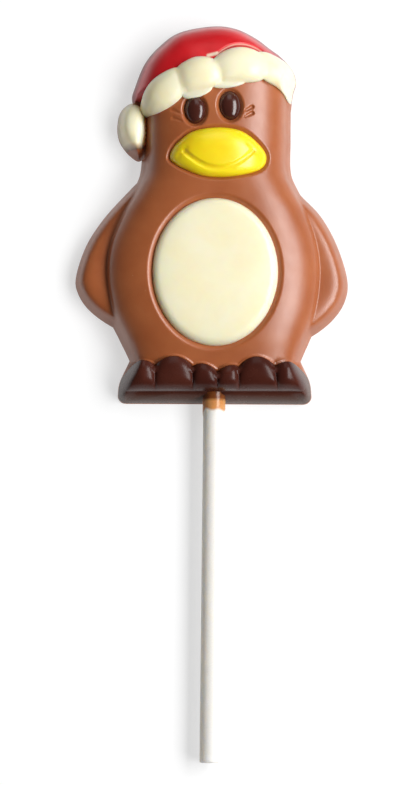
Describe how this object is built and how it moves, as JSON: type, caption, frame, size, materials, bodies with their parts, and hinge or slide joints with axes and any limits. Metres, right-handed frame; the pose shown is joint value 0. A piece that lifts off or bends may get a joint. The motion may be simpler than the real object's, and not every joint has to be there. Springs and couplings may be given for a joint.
{
  "type": "chocolate lollipop",
  "caption": "Flat-backed moulded chocolate figure of a penguin in a winter hat, lying on its back, with a round paper stick in its base.",
  "frame": {"origin": "on the flat back of the chocolate, on the figure's centre line at the foot of the neck, in line with the stick", "axes": "+Z out of the figure's front (up as it lies on its back), +Y along the figure from the stick to the hat, +X to the right of a viewer who faces it"},
  "size_m": [0.0574, 0.1556, 0.0134],
  "materials": {
    "milk_chocolate": "satin moulded milk chocolate",
    "white_chocolate": "satin moulded white chocolate",
    "red_coating": "semi-gloss red coloured white chocolate",
    "yellow_coating": "semi-gloss yellow coloured white chocolate",
    "dark_chocolate": "glossy moulded dark chocolate",
    "white_paper": "smooth matt rolled paper"
  },
  "bodies": {
    "root": {"body": "milk_chocolate", "hat": "red_coating", "hat_brim": "white_chocolate", "pompom": "white_chocolate", "eye_left": "dark_chocolate", "eye_right": "dark_chocolate", "beak": "yellow_coating", "belly": "white_chocolate", "feet": "dark_chocolate", "stick": "white_paper"}
  },
  "joints": []
}
